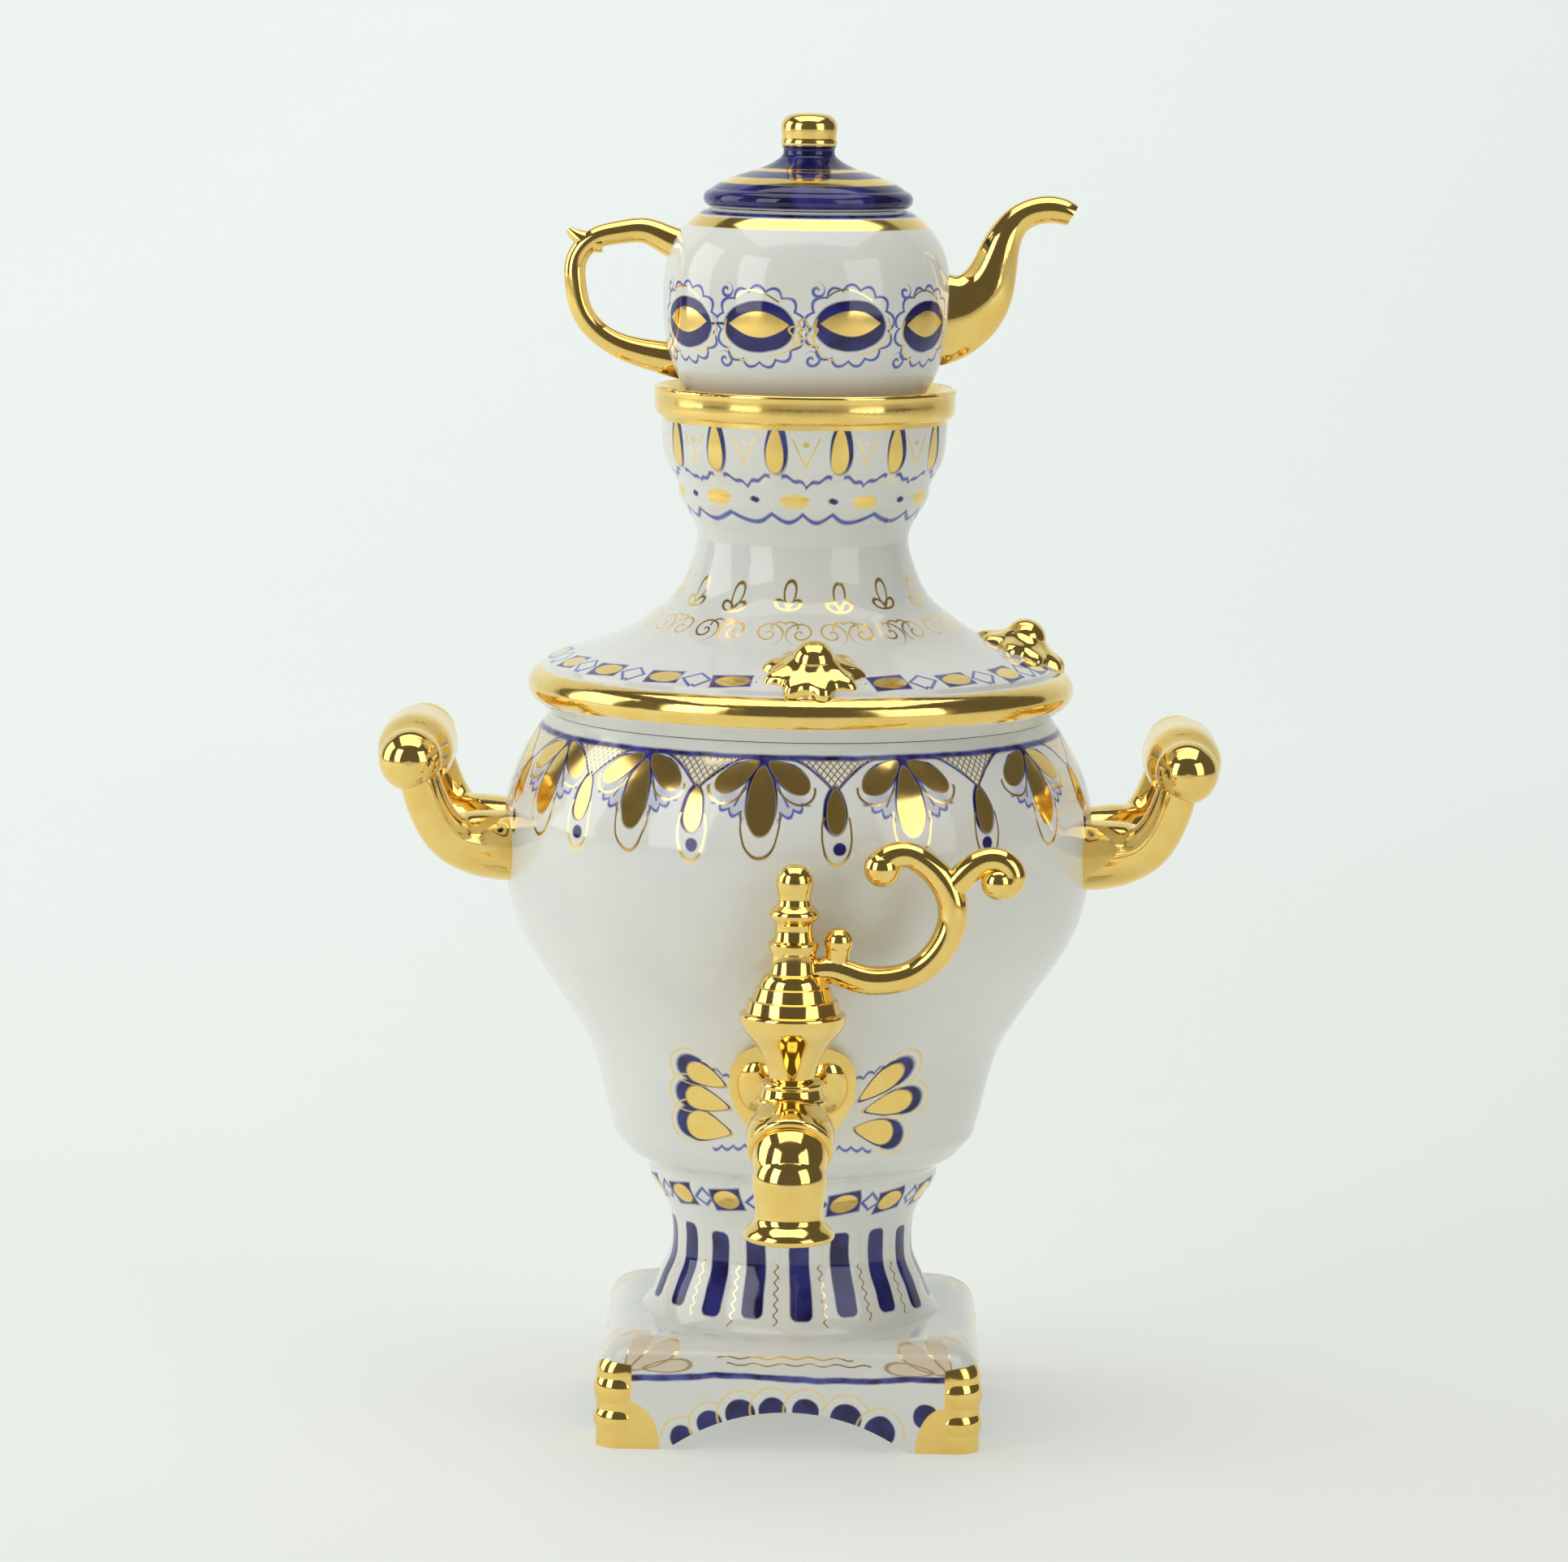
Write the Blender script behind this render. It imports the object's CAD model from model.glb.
import math

import bpy
from mathutils import Matrix, Vector


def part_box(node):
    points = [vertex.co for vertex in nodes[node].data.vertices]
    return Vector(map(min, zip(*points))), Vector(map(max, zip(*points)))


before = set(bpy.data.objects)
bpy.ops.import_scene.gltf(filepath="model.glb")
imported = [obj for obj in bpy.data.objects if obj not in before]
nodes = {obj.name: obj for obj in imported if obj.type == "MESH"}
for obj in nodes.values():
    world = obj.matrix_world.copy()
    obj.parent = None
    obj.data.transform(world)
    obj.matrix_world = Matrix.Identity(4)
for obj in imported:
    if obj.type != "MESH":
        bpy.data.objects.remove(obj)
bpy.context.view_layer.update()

# A painted porcelain samovar set: white glaze, cobalt under it and gilding over it.
# The pieces keep the frame's shapes. This script gives each its finish, and builds the studio.

MM = 1000.0


def low(node):
    """Height of a node's underside, in millimetres."""
    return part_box(node)[0].z * MM


def high(node):
    """Height of a node's top, in millimetres."""
    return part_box(node)[1].z * MM


def reach(node):
    """Half a round node's width, in millimetres."""
    lowest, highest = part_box(node)
    return (highest.x - lowest.x) / 2 * MM


urn_low, urn_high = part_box("urn_body")
axis_y = (urn_low.y + urn_high.y) / 2


def shade(red, green, blue):
    """A linear colour from the usual 0 to 255 screen values."""
    return tuple(((c / 255 + 0.055) / 1.055) ** 2.4 for c in (red, green, blue)) + (1.0,)


GLAZE = (0.82, 0.825, 0.765, 1.0)
GLAZE_THICK = (0.77, 0.79, 0.755, 1.0)
COBALT = shade(38, 34, 112)
COBALT_DEEP = shade(20, 15, 66)
COBALT_THIN = shade(84, 88, 170)
WASH = shade(100, 112, 185)
GOLD = (0.95, 0.70, 0.235, 1.0)
GOLD_RED = (0.93, 0.62, 0.17, 1.0)
PEACH = shade(226, 198, 158)


# ------------------------------------------------------------------ numbers that vary over a surface
class Value:
    """A socket that gives a number. Sums on it add Math nodes."""

    def __init__(self, finish, socket):
        self.finish = finish
        self.socket = socket

    def sum(self, operation, *values):
        return self.finish.maths(operation, self, *values)

    def __add__(self, other):
        return self.sum("ADD", other)

    def __sub__(self, other):
        return self.sum("SUBTRACT", other)

    def __mul__(self, other):
        return self.sum("MULTIPLY", other)

    def __truediv__(self, other):
        return self.sum("DIVIDE", other)

    def __rsub__(self, other):
        return self.finish.maths("SUBTRACT", other, self)

    def __rtruediv__(self, other):
        return self.finish.maths("DIVIDE", other, self)

    __radd__ = __add__
    __rmul__ = __mul__

    def __neg__(self):
        return self.sum("MULTIPLY", -1.0)

    def __abs__(self):
        return self.sum("ABSOLUTE")

    def __pow__(self, power):
        return self.sum("POWER", power)

    def __gt__(self, other):
        return self.sum("GREATER_THAN", other)

    def __lt__(self, other):
        return self.sum("LESS_THAN", other)

    def least(self, other):
        return self.sum("MINIMUM", other)

    def most(self, other):
        return self.sum("MAXIMUM", other)

    def root(self):
        return self.sum("SQRT")

    def sine(self):
        return self.sum("SINE")

    def floor(self):
        return self.sum("FLOOR")

    def with_(self, other):
        """Length of the hypotenuse over this number and another."""
        return self.sum("MULTIPLY_ADD", self, other * other).root()


class Finish:
    """A material: its nodes, the coordinates it reads and the paint laid on so far."""

    def __init__(self, name):
        self.material = bpy.data.materials.new(name)
        self.material.use_nodes = True
        self.tree = self.material.node_tree
        self.tree.nodes.clear()
        self.place = self.node("ShaderNodeTexCoord", {}, {}, "Object")
        self.facing = self.node("ShaderNodeTexCoord", {}, {}, "Normal")
        self.x, y, z = self.parts(self.place)
        self.x = self.x * MM
        self.y = (y - axis_y) * MM
        self.z = z * MM
        self.r = self.x.with_(self.y)
        self.turn = self.maths("ARCTAN2", self.x, -self.y) * (180 / math.pi)
        self.gold = 0.0

    def node(self, kind, settings, sockets, output=0):
        """Adds a node, sets it, then fills its sockets with numbers, colours or links."""
        made = self.tree.nodes.new(kind)
        for name, value in settings.items():
            setattr(made, name, value)
        for name, value in sockets.items():
            if isinstance(value, Value):
                self.tree.links.new(value.socket, made.inputs[name])
            else:
                made.inputs[name].default_value = value
        return Value(self, made.outputs[output])

    def maths(self, operation, *values):
        return self.node("ShaderNodeMath", {"operation": operation}, dict(enumerate(values)))

    def parts(self, vector):
        """The three numbers in a vector."""
        made = self.node("ShaderNodeSeparateXYZ", {}, {0: vector}).socket.node
        return [Value(self, socket) for socket in made.outputs]

    def noise(self, size, detail=2.0, output="Fac", shift=0.0, stretch=(1, 1, 1)):
        """Soft cloudy noise whose blotches are about size millimetres across."""
        moved = self.node("ShaderNodeMapping", {}, {"Vector": self.place, "Location": (shift, shift, 0),
                                                    "Scale": stretch})
        return self.node("ShaderNodeTexNoise", {}, {"Vector": moved, "Scale": MM / size, "Detail": detail}, output)

    def ramp(self, value, start, end, first=0.0, last=1.0):
        """first below start, last above end, and an even run between."""
        return self.node("ShaderNodeMapRange", {}, {0: value, 1: start, 2: end, 3: first, 4: last})

    def mix(self, share, one, other):
        """Colour one where share is 0 and the other where it is 1."""
        return self.node("ShaderNodeMix", {"data_type": "RGBA"}, {0: share, 6: one, 7: other}, 2)

    def inked(self, distance, edge=0.16):
        """1 inside a shape, where distance is below 0, with a soft edge."""
        return self.ramp(distance, -edge, edge, 1.0, 0.0)

    def cells(self, value, size, first=0.0, count=0):
        """Cuts a length into cells. Gives the place from the middle of the cell, and the cell's three
        chance numbers, each from -1 to 1."""
        moved = value - first
        index = (moved / size + 0.5).floor()
        if count:
            index = index.sum("FLOORED_MODULO", count)
        chance = self.node("ShaderNodeTexWhiteNoise", {"noise_dimensions": "1D"}, {"W": index + 0.37 * size}, "Color")
        return moved.sum("WRAP", size / 2, -size / 2), [(c - 0.5) * 2.0 for c in self.parts(chance)]

    # ---- layers of paint
    def glaze(self):
        """The bare white, a little greyer and greener where the glaze lies thick, with a few dark specks."""
        cloud = self.noise(26.0, 3.0)
        self.colour = self.mix(self.ramp(cloud, 0.35, 0.68), GLAZE, GLAZE_THICK)
        speck = self.node("ShaderNodeTexVoronoi", {}, {"Vector": self.place, "Scale": MM / 9.0}, "Distance")
        chosen = self.noise(13.0, 0.0, shift=3.0) > 0.66
        self.colour = self.mix(self.inked(speck - 0.028, 0.012) * chosen * 0.55, self.colour, shade(88, 74, 58))
        self.bare = self.colour

    def brush(self, mask, thin=0.35, size=5.0):
        """Cobalt under the glaze: darkest where the stroke holds most, paler where the brush ran dry."""
        load = self.ramp(self.noise(size, 2.0, shift=1.7), 0.34, 0.66)
        deep = self.mix(load, COBALT_DEEP, COBALT)
        pale = self.mix(load * thin, deep, COBALT_THIN)
        self.colour = self.mix(mask, self.colour, pale)

    def wash(self, mask, size=4.0):
        """Thin cobalt, from a nearly dry brush."""
        load = self.ramp(self.noise(size, 2.0, shift=2.3), 0.30, 0.70)
        self.colour = self.mix(mask, self.colour, self.mix(load, COBALT_THIN, WASH))

    def gild(self, mask):
        """Gold over the glaze."""
        self.gold = mask if self.gold == 0.0 else self.gold.most(mask)

    def tint(self, mask, colour):
        """A faint lustre that stays matt."""
        self.colour = self.mix(mask, self.colour, colour)

    def fire(self, outside=None, polish=0.0):
        """Ends the material. Paint shows only where outside is 1."""
        colour, gold = self.colour, self.gold
        if outside is not None:
            colour = self.mix(outside, self.bare, colour)
            gold = gold * outside if isinstance(gold, Value) else gold
        rub = self.noise(7.0, 4.0, shift=5.1)
        gilt = self.mix(self.ramp(rub, 0.30, 0.75), GOLD, GOLD_RED)
        base = colour if gold == 0.0 else self.mix(gold, colour, gilt)
        rough = self.ramp(self.noise(3.0, 3.0, shift=7.7), 0.3, 0.7, 0.055, 0.10)
        gilt_rough = self.ramp(rub, 0.35, 0.8, 0.09 + polish, 0.20 + polish)
        if not isinstance(gold, Value) and gold == 1.0:
            rough = gilt_rough
        elif isinstance(gold, Value):
            rough = rough + (gilt_rough - rough) * gold
        swell = self.noise(17.0, 1.0, shift=9.0) + self.noise(1.1, 2.0, shift=4.0) * 0.012
        bump = self.node("ShaderNodeBump", {}, {"Height": swell, "Strength": 1.0, "Distance": 0.00022}, "Normal")
        surface = self.node("ShaderNodeBsdfPrincipled", {}, {
            "Base Color": base, "Roughness": rough, "Metallic": gold, "IOR": 1.52, "Normal": bump})
        return self.ended(surface)

    def ended(self, surface):
        """The material, with its surface joined up."""
        output = self.tree.nodes.new("ShaderNodeOutputMaterial")
        self.tree.links.new(surface.socket, output.inputs["Surface"])
        return self.material

    def outer(self):
        """1 on faces that look away from the axis."""
        nx, ny, _ = self.parts(self.facing)
        return ((nx * self.x + ny * self.y) / self.r) > -0.05


# ------------------------------------------------------------------ shapes for the brush, in millimetres
def egg(u, v, half_width, half_length, taper=0.0):
    """Distance to an oval along v, broader towards +v where taper is above 0."""
    width = (v * (taper / half_length) + 1.0) * half_width if taper else half_width
    return ((u / width).with_(v / half_length) - 1.0) * min(half_width, half_length)


def turned(u, v, degrees):
    """u and v as seen by a shape that is turned anticlockwise."""
    c, s = math.cos(math.radians(degrees)), math.sin(math.radians(degrees))
    return u * c + v * s, v * c - u * s


def line(distance, half_width):
    """Distance to a line drawn along a shape's edge."""
    return abs(distance) - half_width


def waves(value, length):
    """Goes from -1 to 1 and back over each length."""
    return (value * (2 * math.pi / length)).sine()


def drape(value, length):
    """0 at cusps a length apart, and up to 1 between them."""
    return abs((value * (math.pi / length)).sine())


def stroke(u, v, start, end, half_width):
    """Distance to a straight stroke between two points."""
    run = (end[0] - start[0], end[1] - start[1])
    length = run[0] ** 2 + run[1] ** 2
    share = ((u - start[0]) * (run[0] / length) + (v - start[1]) * (run[1] / length)).most(0.0).least(1.0)
    return (u - start[0] - share * run[0]).with_(v - start[1] - share * run[1]) - half_width


def curl(finish, u, v, pitch, size, half_width):
    """Distance to a spiral line."""
    away = u.with_(v)
    lap = finish.maths("ARCTAN2", v, u) * (pitch / (2 * math.pi))
    return line((away - lap).sum("WRAP", pitch / 2, -pitch / 2), half_width).most(away - size)


# ------------------------------------------------------------------ gilding alone
def gilding():
    finish = Finish("gilding")
    finish.colour = GOLD
    finish.gold = 1.0
    rub = finish.noise(7.0, 4.0, shift=5.1)
    worn = finish.noise(1.6, 5.0, shift=8.3)
    gilt = finish.mix(finish.ramp(rub, 0.30, 0.75), GOLD, GOLD_RED)
    gilt = finish.mix(finish.ramp(worn, 0.70, 0.78) * 0.35, gilt, (0.50, 0.30, 0.10, 1.0))
    rough = finish.ramp(rub, 0.35, 0.8, 0.055, 0.13) + finish.ramp(worn, 0.66, 0.80, 0.0, 0.16)
    swell = finish.noise(12.0, 1.0, shift=9.0) + finish.noise(0.9, 2.0, shift=4.0) * 0.014
    bump = finish.node("ShaderNodeBump", {}, {"Height": swell, "Strength": 1.0, "Distance": 0.0002}, "Normal")
    surface = finish.node("ShaderNodeBsdfPrincipled", {}, {
        "Base Color": gilt, "Roughness": rough, "Metallic": 1.0, "Normal": bump})
    return finish.ended(surface)


# ------------------------------------------------------------------ plinth
def plinth_paint():
    finish = Finish("plinth_paint")
    finish.glaze()
    half = reach("plinth")
    apron = 22.0
    ax, ay = abs(finish.x), abs(finish.y)
    sideways = ax > ay
    out = ax.most(ay)
    near = ax.least(ay)
    sx, sy = finish.x.sum("SIGN"), finish.y.sum("SIGN")
    ahead = -(finish.x * sy)
    u = ahead + (finish.y * sx - ahead) * sideways
    shake = finish.noise(9.0, 1.0, shift=2.0) - 0.5
    z = finish.z + shake * 1.3
    # blue line along the top of the apron
    finish.brush(finish.inked(line(z - apron - 0.4 + waves(u, 61.0) * 0.5, 0.95), 0.3), thin=0.9)
    # blue spots along the arch, and the gold scallops over them
    ink, rim = None, None
    for at, size in ((-31.9, 3.5), (-23.4, 3.8), (-14.2, 4.5), (-4.6, 4.2), (5.4, 4.1), (17.6, 4.7), (27.8, 4.8)):
        rise = math.sqrt(60.75 ** 2 - at ** 2) - 48.75 + 0.9
        away = (u - at).with_(z - rise)
        spot = away - size
        arc = line(away - size - 2.6, 0.32)
        ink = spot if ink is None else ink.least(spot)
        rim = arc if rim is None else rim.least(arc).most(-(away - size - 2.2))
    ink = ink.least((u - 41.6).with_(z - 11.5) - 3.9)
    finish.brush(finish.inked(ink + shake * 0.8, 0.25), thin=0.1)
    finish.gild(finish.inked(rim.most(4.0 - z), 0.2) * 0.75)
    # gold corners
    foot = egg(near - 47.0, z, 8.5, 14.0)
    corner = (47.2 - near).least(foot).most(z - 25.5 - (near - 47.0) * 0.15)
    finish.gild(finish.inked(corner.most(40.0 - out), 0.2))
    # leaves on the pillow's corners
    climb = (finish.z - apron) * 1.1
    for at, rise, lean, width, length in ((40.5, 6.5, 62, 2.6, 8.0), (45.5, 9.0, 30, 2.4, 6.5), (36.5, 3.8, 84, 1.9, 7.0)):
        leaf = egg(*turned(near - at, climb - rise, lean), width, length, 0.3)
        finish.tint(finish.inked(leaf, 0.4) * 0.55, PEACH)
        finish.gild(finish.inked(line(leaf, 0.16), 0.16) * 0.7)
    # a double wavy line on the front of the pillow
    for rise, start, end in ((6.2, -21.5, 19.5), (4.4, -18.5, 25.0)):
        thread = line(finish.z - apron - rise + waves(u, 8.3) * 0.35 + shake * 0.8, 0.17)
        thread = thread.most(start - u).most(u - end)
        finish.gild(finish.inked(thread, 0.14))
    outside = (out > 54.0).most(finish.z > apron + 2.5)
    return finish.fire(outside)


# ------------------------------------------------------------------ pedestal
def pedestal_paint():
    finish = Finish("pedestal_paint")
    finish.glaze()
    base = low("pedestal")
    up = finish.z - base
    shake = finish.noise(10.0, 1.0, shift=2.0) - 0.5
    mm = finish.r * (math.pi / 180)
    # cobalt stripes
    cell, (a, b, c) = finish.cells(finish.turn + up * 0.045, 20.0, 5.5, 18)
    u = (cell + a * 1.1) * mm
    stripe = abs(u + shake * 1.2) - (3.45 - up * 0.012)
    ends = abs(up - 16.3 + b * 0.7) - 12.6
    body = stripe.most(ends)
    rounded = (stripe + 2.0).most(0.0).with_((ends + 2.0).most(0.0)) - 2.0
    finish.brush(finish.inked(rounded.most(body), 0.3), thin=0.2, size=11.0)
    # gold squiggles between the stripes
    cell, (a, b, c) = finish.cells(finish.turn + up * 0.06, 20.0, 15.5, 18)
    u = (cell + a * 1.2) * mm
    squiggle = line(u + waves(up + a * 2.0, 3.1) * 0.55 + shake, 0.21).most(abs(up - 11.0 + b) - 9.0)
    finish.gild(finish.inked(squiggle, 0.15))
    thread = line(u - 0.9 + shake, 0.16).most(abs(up - 22.0) - 7.0)
    finish.tint(finish.inked(thread, 0.3) * 0.35, PEACH)
    # beads under the urn
    top = high("pedestal")
    cell, (a, b, c) = finish.cells(finish.turn, 24.0, -2.0, 15)
    u = (cell + a * 1.6) * mm
    v = finish.z - top + 5.2 + b * 0.5
    tilted, across = turned(u, v, 7)
    box = (abs(tilted + shake) - 5.3).most(abs(across + shake * 0.8) - 3.7)
    finish.brush(finish.inked(box, 0.4), thin=0.35)
    bead = egg(across, tilted, 3.0, 4.4)
    side = abs(cell * mm)
    away = abs(side - 9.2)
    knot = line(away * 0.9 + abs(v) - 3.0, 0.62)
    finish.wash(finish.inked(knot.most(-box), 0.35))
    finish.gild(finish.inked(bead, 0.2))
    return finish.fire(finish.outer())


# ------------------------------------------------------------------ urn
def urn_paint():
    finish = Finish("urn_paint")
    finish.glaze()
    top = high("urn_body")
    rim = 76.4
    shake = finish.noise(8.0, 1.0, "Color", shift=2.0)
    sway, bob, _ = [(c - 0.5) * 1.6 for c in finish.parts(shake)]
    mm = finish.r * (math.pi / 180)
    # distance down the shoulder from the blue line
    down = (top - 4.0 - finish.z) * 0.93 + (finish.r - rim - 2.8) * 0.38 + bob * 0.5
    # fans of three petals
    lag = (finish.turn - 8.0) * (math.pi / 180)
    even = finish.turn + lag.sum("COSINE") * 12.0 - 10.6
    mm_even = mm / (1.0 - lag.sine() * 0.209)
    cell, (a, b, c) = finish.cells(even, 30.0, -6.0, 12)
    u = (cell + a * 1.0) * mm_even * (b * 0.06 + 1.0) + sway
    v = down
    flare = u.with_(v)
    swing = finish.maths("ARCTAN2", u, v) * (180 / math.pi)
    petal_turn, _ = finish.cells(swing, 41.0, 0.0)
    outer_petal = abs(swing) > 26.0
    limit = (abs(swing) - 77.0) * 0.2
    bend = (swing - swing.sum("SIGN") * outer_petal * 52.0) * (math.pi / 180)
    along = flare * bend.sum("COSINE") * (outer_petal * 0.40 + 1.0)
    across = flare * bend.sine() * (outer_petal * 0.26 + 1.0)
    petal = egg(across, along - 13.8, 4.5, 11.6, 0.34)
    joint = petal - 1.5 + along * 0.085
    vein = line((abs(swing) - 27.0) * flare * (math.pi / 180), 0.28).most(abs(flare - 11.0) - 6.5)
    finish.brush(finish.inked(joint.most(limit).least(vein), 0.25), thin=0.4)
    # lace between the petal tips
    extent = (abs(abs(swing) - 30.0) - 14.5) * 0.3
    lace = flare - 18.8 - drape(swing, 10.0) * 1.7
    finish.tint(finish.inked(lace.most(13.0 - flare).most(extent), 1.2) * 0.3, WASH)
    finish.wash(finish.inked(line(lace, 0.55).most(extent), 0.35))
    finish.gild(finish.inked((petal + 0.3).most(limit), 0.2))
    # gold loops round the tips
    hoop = line(egg(u, v - 20.0, 6.0, 10.6), 0.26).most(17.0 - v)
    p, q = turned(abs(u) - 9.3, v - 8.7, -52)
    side_hoop = line(egg(p, q, 4.7, 7.2, 0.2), 0.25).most(p - 2.4 - q * 0.2).most(-3.5 - q)
    finish.gild(finish.inked(hoop.least(side_hoop), 0.16))
    # swags and drops between the fans
    cell, (a, b, c) = finish.cells(even, 30.0, 9.0, 12)
    u = (cell + a * 0.9) * mm_even + sway * 0.6
    side = abs(u)
    hem = ((1.0 - side / 13.5).most(0.0)) ** 1.55 * 11.0
    net = finish.cells(u + down * 0.8, 2.1)[0]
    mesh = finish.cells(u - down * 0.8, 2.1)[0]
    threads = line(net, 0.2).least(line(mesh, 0.2)).most(down - hem).most(0.6 - down)
    finish.gild(finish.inked(threads, 0.14))
    finish.brush(finish.inked(line(down - hem, 0.62).most(side - 13.6), 0.3), thin=1.0)
    drop = egg(u, down - 17.5 + c, 2.8, 6.8, 0.2)
    halo = egg(u + 0.35, down - 17.0 + c, 3.7, 7.6, 0.2)
    finish.brush(finish.inked(halo, 0.25), thin=0.4)
    finish.gild(finish.inked(drop, 0.2))
    finish.gild(finish.inked(line(egg(u, down - 22.6, 4.3, 9.6, 0.12), 0.26).most(18.5 - down), 0.16))
    finish.brush(finish.inked((u - c * 0.8).with_(down - 27.6) - 1.9, 0.25), thin=0.1)
    # blue line round the shoulder
    finish.brush(finish.inked(line(down, 0.95), 0.4), thin=0.9)
    # petals beside the tap
    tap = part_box("tap_barrel")
    tap_z = (tap[1].z * MM) - 13.0
    u = finish.turn * mm + sway * 0.4
    v = finish.z - tap_z + bob * 0.4
    side = abs(u)
    above = line(v - 4.2 - (side - 17.0) * 0.42 - drape(u, 3.6) * 1.2, 0.5).most(abs(side - 24.0) - 8.0)
    below = line(v + 13.6 + side * 0.12 + drape(u, 3.6) * 1.2, 0.5).most(abs(side - 19.0) - 5.5)
    finish.wash(finish.inked(above.least(below), 0.35))
    for at, rise, lean, length, width in ((-27.2, 5.8, 68, 6.6, 3.0), (-26.8, -2.2, 76, 7.2, 3.3),
                                          (-26.3, -10.6, 80, 7.2, 4.0), (27.8, 4.6, -54, 8.6, 2.9),
                                          (30.4, -2.6, -78, 8.0, 3.2), (25.6, -11.0, -101, 6.3, 3.6)):
        p, q = turned(u - at, v - rise, lean)
        leaf = egg(p, q, width, length, 0.5)
        back = egg(p - 0.4, q - 2.4, width + 0.9, length + 1.5, 0.45)
        finish.brush(finish.inked(back.most(3.0 - q), 0.3).most(finish.inked(line(leaf - 0.3, 0.3), 0.2)), thin=0.15)
        finish.gild(finish.inked(leaf, 0.2))
        finish.gild(finish.inked(line(back - 1.0, 0.18), 0.15).sum("MULTIPLY", 0.8))
    return finish.fire(finish.outer())


# ------------------------------------------------------------------ urn lid
def lid_paint():
    finish = Finish("lid_paint")
    finish.glaze()
    base = low("lid_cover") + 8.5
    shake = finish.noise(8.0, 1.0, "Color", shift=2.0)
    sway, bob, _ = [(c - 0.5) * 1.4 for c in finish.parts(shake)]
    mm = finish.r * (math.pi / 180)
    # chain near the roll
    down = (finish.r - 73.6) * 0.92 - (finish.z - base - 17.2) * 0.39 + bob * 0.5
    cell, (a, b, c) = finish.cells(finish.turn, 18.0, 2.8, 20)
    u = (cell + a * 0.9) * mm + sway * 0.5
    tilted, across = turned(u, down, -6)
    front = abs(finish.turn - 2.8) - 12.6
    gap = front.least(abs(finish.turn - 92.0) - 11.0)
    box = (abs(tilted) - 5.9 - a * 0.6).most(abs(across) - 3.9 - b * 0.4)
    keep = -gap
    finish.brush(finish.inked((box + sway * 0.5).most(keep), 0.35), thin=0.95)
    link = abs(abs(cell * mm) - 11.3)
    knot = line(link * 0.95 + abs(down) - 4.0, 0.62).most(-box).most(keep)
    finish.wash(finish.inked(knot, 0.35))
    finish.gild(finish.inked(egg(across, tilted - 0.4, 3.1, 5.2, 0.1).most(keep), 0.2))
    # spirals in pairs
    cell, (a, b, c) = finish.cells(finish.turn, 24.0, -6.5, 15)
    u = (cell + a * 1.0) * mm + sway * 0.3
    slope = (finish.z - base - 28.4) * 0.9 - (finish.r - 47.2) * 0.45
    side = abs(u)
    spiral = curl(finish, side - 4.9, slope - 0.3, 3.0, 4.7, 0.32)
    lead = line((side - 1.6).with_(slope - 2.6) - 2.3, 0.28).most(2.0 - slope)
    finish.gild(finish.inked(spiral.least(lead), 0.16))
    # sprigs of three leaves
    v = finish.z - base - 35.4 - b * 0.8
    lean, tall = turned(u, v, -6)
    sprig = line(egg(lean, tall - 4.0, 1.75, 3.6, 0.15), 0.26)
    leaves = line(egg(*turned(side - 1.8, v - 0.6, -62), 1.1, 2.1, 0.2), 0.26)
    finish.gild(finish.inked(sprig.least(leaves), 0.16))
    # gilded roll
    finish.gild(finish.inked(line(finish.z - base - 9.0 + bob * 0.3, 4.4).most(76.0 - finish.r), 0.25))
    return finish.fire(finish.outer())


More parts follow.
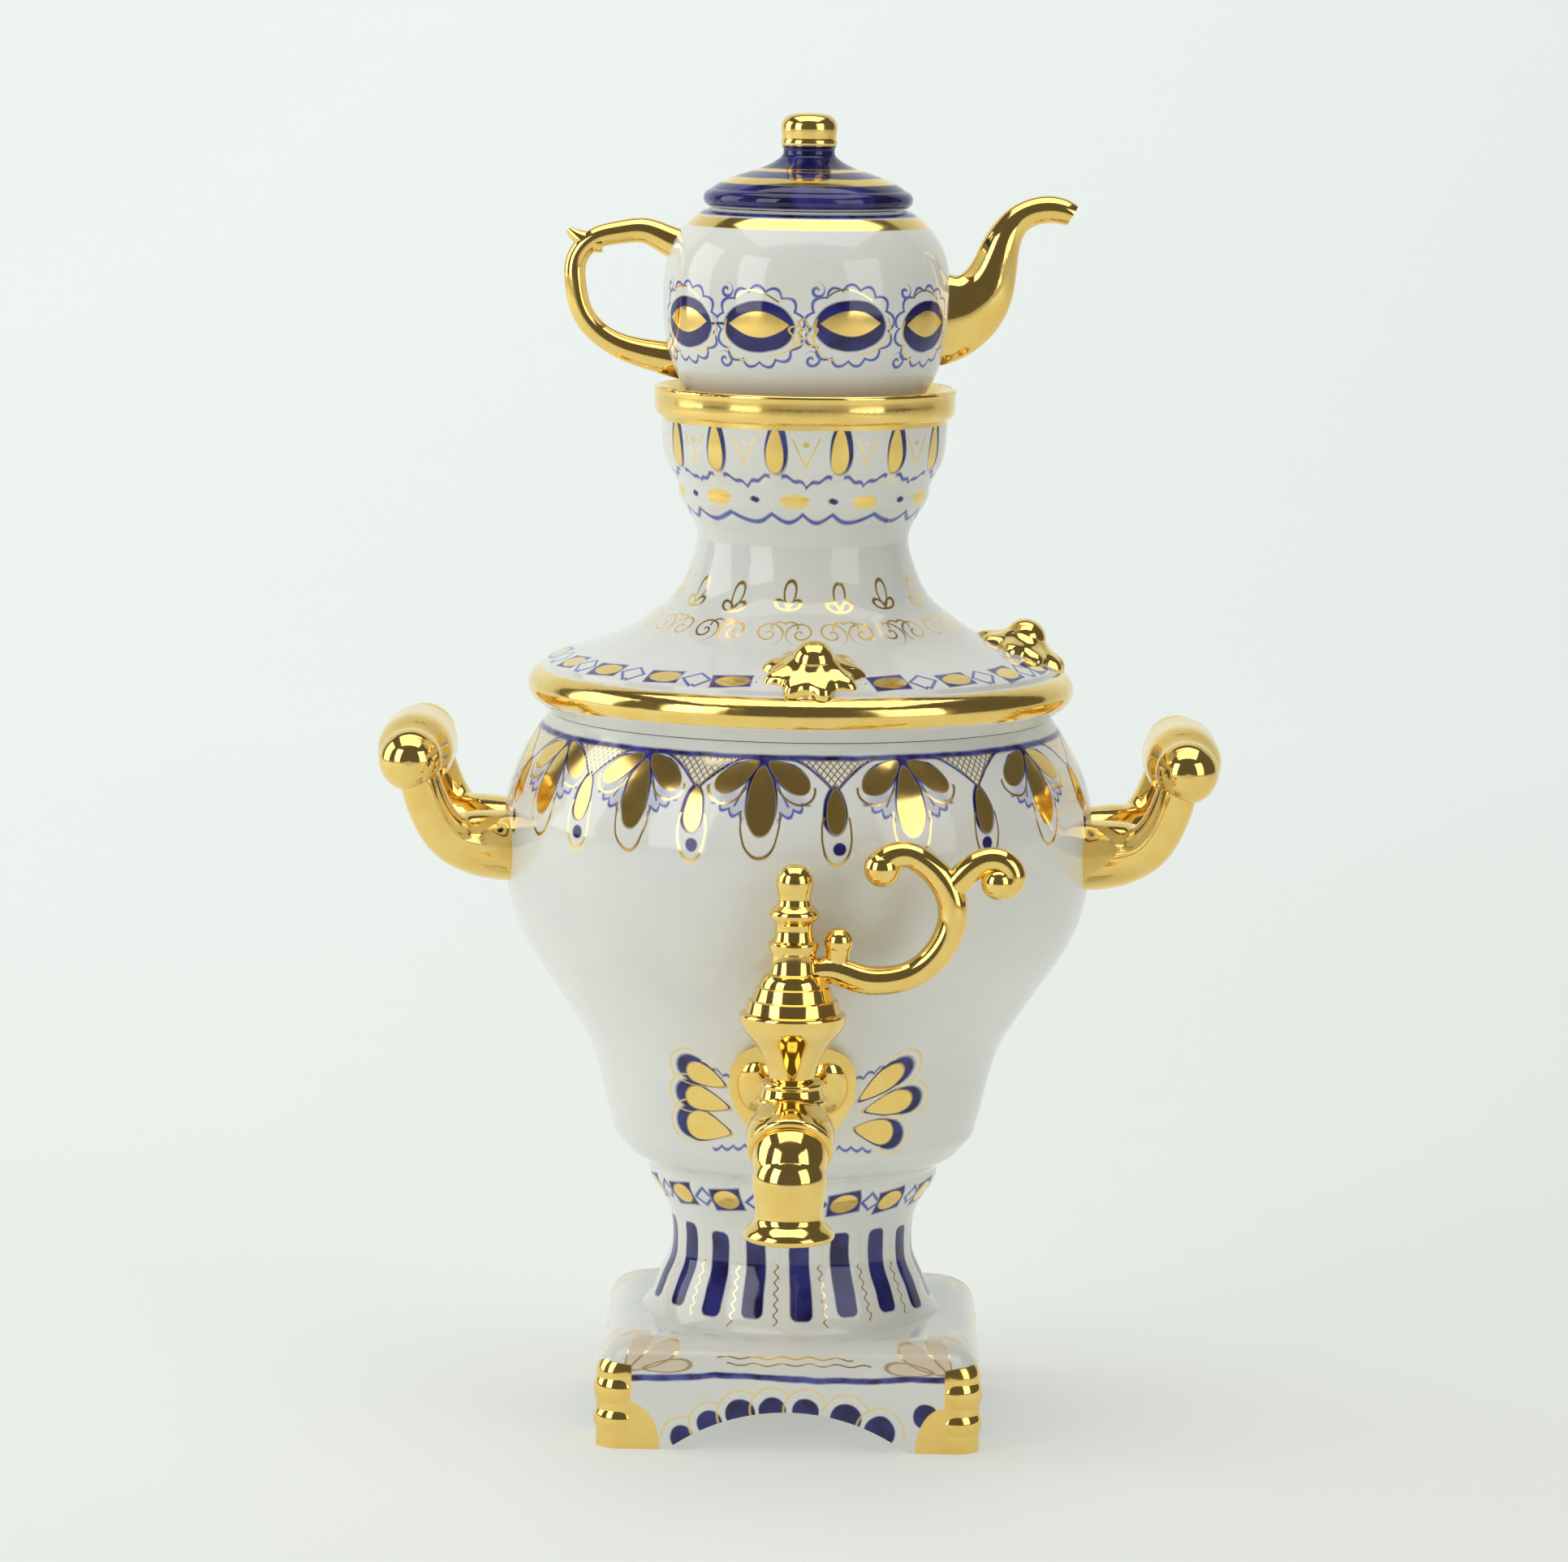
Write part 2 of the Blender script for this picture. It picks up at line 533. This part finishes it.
# ------------------------------------------------------------------ gallery
def gallery_paint():
    finish = Finish("gallery_paint")
    finish.glaze()
    top = high("teapot_gallery")
    down = top - finish.z
    shake = finish.noise(8.0, 1.0, "Color", shift=2.0)
    sway, bob, _ = [(c - 0.5) * 1.4 for c in finish.parts(shake)]
    mm = finish.r * (math.pi / 180)
    apart = 360 / 14
    cell, (a, b, c) = finish.cells(finish.turn, apart, 14.0, 14)
    u = (cell + a * 1.0) * mm + sway * 0.4
    v = down - 15.5 + bob * 0.4
    # blue scallop line from drop to drop
    side = abs(u)
    dip = down - 27.4 + (8.6 - side).most(0.0) ** 0.62 * 0.95 - waves(side, 4.4) * 0.45 + b * 0.4
    finish.wash(finish.inked(line(dip, 0.62).most(1.8 - side), 0.35))
    # drops
    drop = egg(u, v - 1.0, 2.55, 7.0, 0.35)
    back = egg(u - 0.5, v + 0.6, 3.5, 8.8, 0.3)
    finish.brush(finish.inked(back, 0.25), thin=0.4)
    finish.gild(finish.inked(drop, 0.2))
    # gold V and dot between the drops
    middle = (cell.sum("WRAP", apart, 0.0) - apart / 2) * mm
    vee = line(down - 21.0 + abs(middle + b) * 2.05, 0.6).most(12.6 - down)
    finish.gild(finish.inked(vee, 0.25))
    finish.gild(finish.inked((middle + b).with_(down - 14.6) - 0.75, 0.2))
    # ovals and dots
    cell, (a, b, c) = finish.cells(finish.turn, 36.0, -4.0, 10)
    u = (cell + a * 3.0) * mm
    v = down - 32.0 + b * 0.5
    finish.gild(finish.inked(egg(v, u, 2.4, 5.0, 0.1) + c * 0.4, 0.2))
    opposite = (abs(cell) - 18.0) * mm
    finish.brush(finish.inked(egg(v + c * 0.3, opposite, 0.9, 1.5), 0.25), thin=0.2)
    # lower blue scallops
    ruffle = drape(finish.turn + bob * 1.5 + waves(finish.turn, 72.0) * 4.0, 18.0)
    finish.wash(finish.inked(line(down - 36.0 - ruffle * 2.6, 0.68), 0.35))
    # gilded rim
    finish.gild(finish.inked(down - 10.4 + bob * 0.3, 0.2))
    inner = 1.0 - finish.outer()
    finish_outside = finish.outer().most(finish.inked(down - 9.0, 0.2) * inner)
    return finish.fire(finish_outside)


# ------------------------------------------------------------------ teapot
def teapot_paint():
    finish = Finish("teapot_paint")
    finish.glaze()
    base = low("teapot_bowl")
    top = high("teapot_bowl")
    up = finish.z - base
    shake = finish.noise(7.0, 1.0, "Color", shift=2.0)
    sway, bob, _ = [(c - 0.5) * 1.4 for c in finish.parts(shake)]
    mm = finish.r * (math.pi / 180)
    # four eyes on each side, clear of the spout and the handle
    side = finish.turn.sum("WRAP", 90.0, -90.0)
    cell, (a, b, c) = finish.cells(side, 37.5, 18.75)
    inside = abs(side) - 74.0
    u = (cell + a * 0.8) * mm + sway * 0.5
    v = up - 29.6 + b * 0.8 + bob * 0.4
    eye = egg(v, u, 7.7, 11.4)
    lens = abs(v - 0.7) - 3.8 + u * u * 0.0417
    swing = finish.maths("ARCTAN2", v, u) * (180 / math.pi)
    away = u.with_(v * 1.18)
    lace = line(away - 12.5 - drape(swing + a * 20.0, 28.0) * 2.0, 0.52).most(inside)
    finish.wash(finish.inked(lace, 0.25))
    tail = curl(finish, u + 11.4, v + 10.2, 2.4, 2.7, 0.45)
    crest = curl(finish, u + 10.6, v - 10.6, 2.4, 2.3, 0.5)
    finish.wash(finish.inked(tail.least(crest).most(inside), 0.25))
    join = stroke((side + 37.5) * mm, up - 29.6 + bob * 0.3, (-2.8, 0.0), (2.8, 0.2), 0.45)
    finish.brush(finish.inked((eye + sway * 0.5).most(inside).least(join), 0.3), thin=0.1, size=8.0)
    arcs = line(away - 12.0 - waves(swing + 40.0, 120.0) * 1.1, 0.28).most(1.2 - drape(swing - 30.0, 120.0) * 2.4)
    finish.gild(finish.inked(lens.most(inside), 0.2))
    finish.gild(finish.inked(arcs.most(inside), 0.15))
    # little gold flower in the middle of each side
    p, q = side * mm + 0.6, up - 27.5
    blossom = p.with_(q)
    lobes = line(blossom - 3.6 - waves(finish.maths("ARCTAN2", q, p) * (180 / math.pi), 72.0) * 0.8, 0.34)
    finish.gild(finish.inked(lobes.least(line(blossom - 1.5, 0.3)), 0.16))
    # faint cloud above it
    cloud = finish.noise(5.0, 2.0, shift=6.6)
    mist = finish.inked(egg(p, q - 17.0, 9.0, 8.0), 2.5) * finish.ramp(cloud, 0.50, 0.62)
    finish.tint(mist * 0.38, shade(232, 226, 190))
    # gold band and blue line on the shoulder
    down = top - finish.z
    finish.brush(finish.inked(line(down - 1.2, 0.55), 0.25), thin=0.6)
    finish.gild(finish.inked(line(down - 3.6 + bob * 0.1, 1.5), 0.2))
    return finish.fire(finish.outer())


# ------------------------------------------------------------------ teapot's lid and knob
def cover_paint():
    finish = Finish("cover_paint")
    finish.glaze()
    up = finish.z - low("teapot_cover") - 5.0
    shake = finish.noise(9.0, 1.0, shift=2.0) - 0.5
    finish.brush(finish.inked(0.4 - up, 0.3), thin=0.25, size=9.0)
    finish.gild(finish.inked(line(up - 8.3 + shake * 0.4, 0.9), 0.2))
    finish.gild(finish.inked(line(up - 11.4 + shake * 0.4, 0.4), 0.2))
    return finish.fire(finish.outer())


def knob_paint():
    finish = Finish("knob_paint")
    finish.glaze()
    up = finish.z - low("teapot_knob")
    shake = finish.noise(5.0, 1.0, shift=2.0) - 0.5
    finish.brush(finish.inked(up - 3.6, 0.3), thin=0.1)
    finish.gild(finish.inked(3.5 + shake * 0.5 - up, 0.2))
    return finish.fire()


# ------------------------------------------------------------------ studio
def paper():
    """Pale paper that glows a little, more so towards the back and the left."""
    finish = Finish("backdrop_paper")
    share = finish.ramp(finish.y / MM - finish.x * (0.65 / MM), -0.3, 2.6)
    glow = finish.mix(share, (0.33, 0.335, 0.31, 1.0), (0.56, 0.60, 0.59, 1.0))
    grain = finish.noise(40.0, 3.0)
    colour = finish.mix(grain, (0.50, 0.525, 0.51, 1.0), (0.51, 0.535, 0.52, 1.0))
    return finish.ended(finish.node("ShaderNodeBsdfPrincipled", {}, {
        "Base Color": colour, "Roughness": 0.9, "Emission Color": glow, "Emission Strength": 1.0}))


def backdrop():
    """A pale sheet that runs along the floor and curves up behind the object."""
    back, bend, height, half = 1.7, 0.9, 3.4, 3.6
    profile = [(-3.2, 0.0)]
    for i in range(13):
        a = math.radians(90 * i / 12)
        profile.append((back + bend * math.sin(a), bend * (1 - math.cos(a))))
    profile.append((back + bend, height))
    points = [(x, y, z) for y, z in profile for x in (-half, half)]
    faces = [(2 * i, 2 * i + 1, 2 * i + 3, 2 * i + 2) for i in range(len(profile) - 1)]
    mesh = bpy.data.meshes.new("backdrop")
    mesh.from_pydata(points, [], faces)
    for face in mesh.polygons:
        face.use_smooth = True
    sheet = bpy.data.objects.new("backdrop", mesh)
    bpy.context.scene.collection.objects.link(sheet)
    mesh.materials.append(paper())


def softbox(name, turn, distance, height, width, tall, power, colour=(1, 1, 1)):
    """An upright soft light that faces the object from one side. turn is 0 in front, and + to the right."""
    data = bpy.data.lights.new(name, "AREA")
    data.shape = "RECTANGLE"
    data.size, data.size_y = width, tall
    data.energy = power
    data.color = colour
    lamp = bpy.data.objects.new(name, data)
    a = math.radians(turn)
    lamp.location = (distance * math.sin(a), axis_y - distance * math.cos(a), height)
    aim = Vector((0, axis_y, 0.2)) - lamp.location
    lamp.rotation_euler = aim.to_track_quat("-Z", "Y").to_euler()
    bpy.context.scene.collection.objects.link(lamp)


def studio():
    backdrop()
    softbox("window_left", -46, 1.7, 0.75, 0.75, 1.3, 8.2)
    softbox("window_far_left", -97, 1.7, 0.75, 0.9, 1.3, 7.5)
    softbox("window_right", 48, 1.8, 0.75, 1.0, 1.3, 7.2)
    softbox("ceiling", 0, 0.05, 2.3, 2.6, 2.0, 28)
    world = bpy.data.worlds.new("room")
    world.use_nodes = True
    world.node_tree.nodes["Background"].inputs["Color"].default_value = (0.20, 0.19, 0.17, 1.0)
    world.node_tree.nodes["Background"].inputs["Strength"].default_value = 0.6
    bpy.context.scene.world = world
    bpy.context.scene.view_settings.view_transform = "Standard"


def camera():
    """Looks down a little from the front, from a shade to the right, and leans by under a degree."""
    data = bpy.data.cameras.new("camera")
    data.sensor_width = 36.0
    data.lens = 139.75
    data.clip_end = 30.0
    seen = bpy.data.objects.new("camera", data)
    bpy.context.scene.collection.objects.link(seen)
    swing = math.radians(0.4)
    aim = Vector((-0.0046, axis_y, 0.1961))
    place = Vector((1.85 * math.sin(swing), axis_y - 1.85 * math.cos(swing), 0.4446))
    look = (aim - place).to_track_quat("-Z", "Y").to_matrix().to_4x4()
    seen.matrix_world = Matrix.Translation(place) @ look @ Matrix.Rotation(math.radians(0.9), 4, "Z")
    bpy.context.scene.camera = seen


def finish_node(name, material):
    slots = nodes[name].data.materials
    slots.clear()
    slots.append(material)


gold = gilding()
painted = {
    "plinth": plinth_paint(),
    "pedestal": pedestal_paint(),
    "urn_body": urn_paint(),
    "lid_cover": lid_paint(),
    "teapot_gallery": gallery_paint(),
    "teapot_bowl": teapot_paint(),
    "teapot_cover": cover_paint(),
    "teapot_knob": knob_paint(),
}
for name in nodes:
    finish_node(name, painted.get(name, gold))

studio()
camera()
